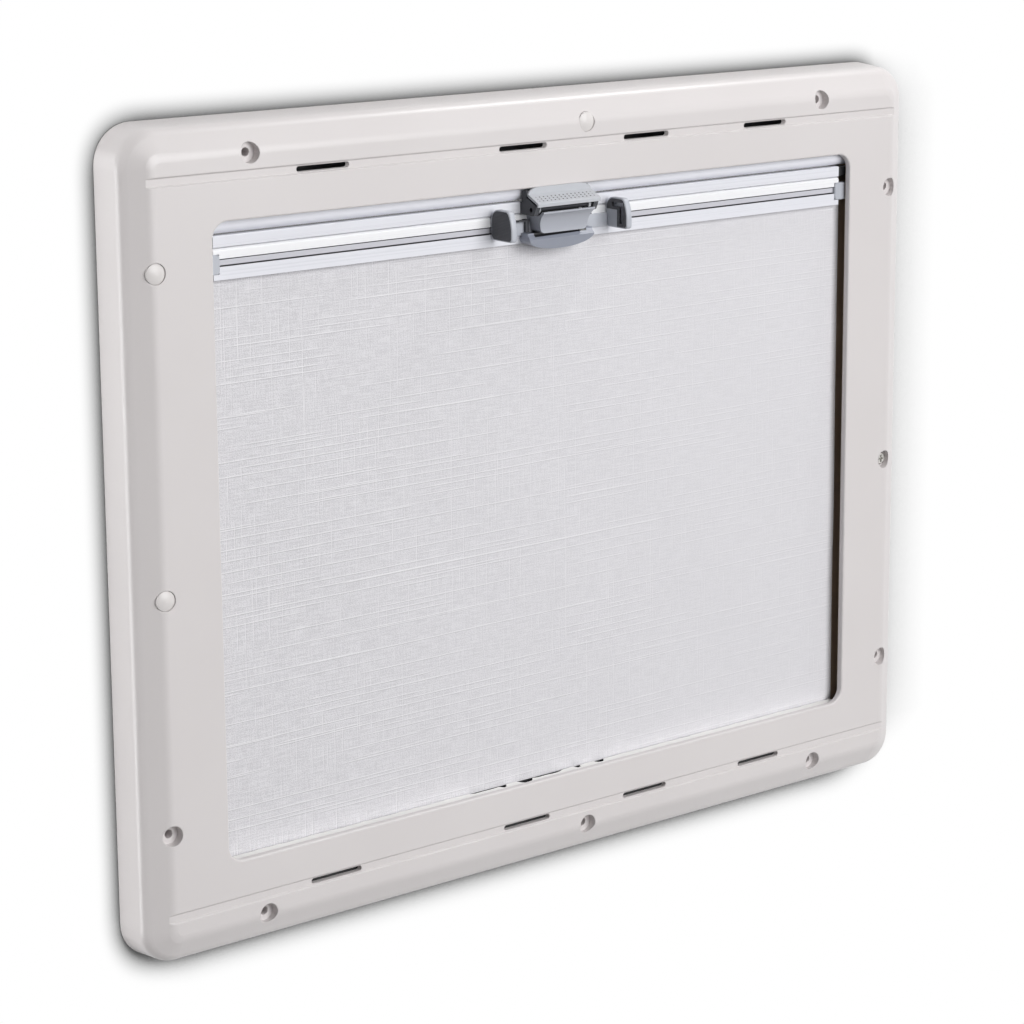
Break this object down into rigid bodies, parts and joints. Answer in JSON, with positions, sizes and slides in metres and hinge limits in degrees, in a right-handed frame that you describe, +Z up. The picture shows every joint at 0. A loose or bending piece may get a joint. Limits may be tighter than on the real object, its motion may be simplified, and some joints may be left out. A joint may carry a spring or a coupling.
{
  "type": "caravan window inside frame with roller blind and flyscreen",
  "caption": "Moulded inside frame of a caravan window with a closed blackout roller blind, a flyscreen rail above it and a centre latch with squeeze grips.",
  "frame": {"origin": "middle of the frame on the wall plane, the plane of the rim's flat back face", "axes": "+X to the right seen from the room, +Y out through the wall, +Z up"},
  "size_m": [0.774, 0.0562, 0.624],
  "materials": {
    "frame_plastic": "cream white moulded plastic, satin",
    "cap_plastic": "cream white moulded plastic caps",
    "screw_steel": "bright zinc plated steel",
    "rail_coating": "white powder coated aluminium",
    "cassette_coating": "pale grey coated aluminium",
    "guide_plastic": "dark brown plastic channel",
    "bracket_plastic": "pale moulded plastic",
    "roller_tube": "mill finish tube",
    "net_cloth": "dark grey insect netting",
    "blind_cloth": "white slub weave blackout cloth",
    "runner_grey": "light grey moulded plastic",
    "runner_black": "black moulded plastic",
    "fitting_dark": "dark grey moulded plastic",
    "fitting_light": "light grey moulded plastic",
    "grip_rubber": "dark grey textured soft plastic"
  },
  "bodies": {
    "window": {"inner_frame": "frame_plastic", "screw_cap_left_upper": "cap_plastic", "screw_cap_left_middle": "cap_plastic", "screw_cap_top_middle": "cap_plastic", "fixing_screw": "screw_steel", "guide_left": "guide_plastic", "guide_right": "guide_plastic", "screen_cassette": "cassette_coating", "blind_cassette": "cassette_coating", "screen_bracket_left": "bracket_plastic", "screen_bracket_right": "bracket_plastic", "blind_bracket_left": "bracket_plastic", "blind_bracket_right": "bracket_plastic", "screen_roller": "roller_tube", "blind_roller": "roller_tube", "flyscreen": "net_cloth", "blind_fabric": "blind_cloth", "screen_rail": "rail_coating", "blind_rail": "rail_coating", "blind_rail_end_left": "runner_grey", "blind_rail_end_right": "runner_grey", "screen_rail_end_left": "runner_black", "screen_rail_end_right": "runner_black", "latch_cradle": "fitting_light", "latch_cover_left": "fitting_dark", "latch_cover_right": "fitting_dark", "latch_hook": "runner_black", "bar_guide_left": "fitting_dark", "bar_guide_right": "fitting_dark", "blind_handle": "fitting_light", "pull_lip": "fitting_light"},
    "lever": {"latch_lever": "fitting_light"},
    "left_grip": {"grip_left": "fitting_light", "grip_pad_left": "grip_rubber"},
    "right_grip": {"grip_right": "fitting_light", "grip_pad_right": "grip_rubber"}
  },
  "joints": [
    {"name": "lever_rock", "type": "hinge", "parent": "window", "child": "lever", "pos_m": [0, -0.0451, 0.2241], "axis": [1, 0, 0], "range_deg": [0, 12], "stiffness_Nm_per_rad": 0.2},
    {"name": "left_squeeze", "type": "slide", "parent": "window", "child": "left_grip", "axis": [1, 0, 0], "range_m": [0, 0.008], "stiffness_N_per_m": 300},
    {"name": "right_squeeze", "type": "slide", "parent": "window", "child": "right_grip", "axis": [-1, 0, 0], "range_m": [0, 0.008], "stiffness_N_per_m": 300}
  ]
}
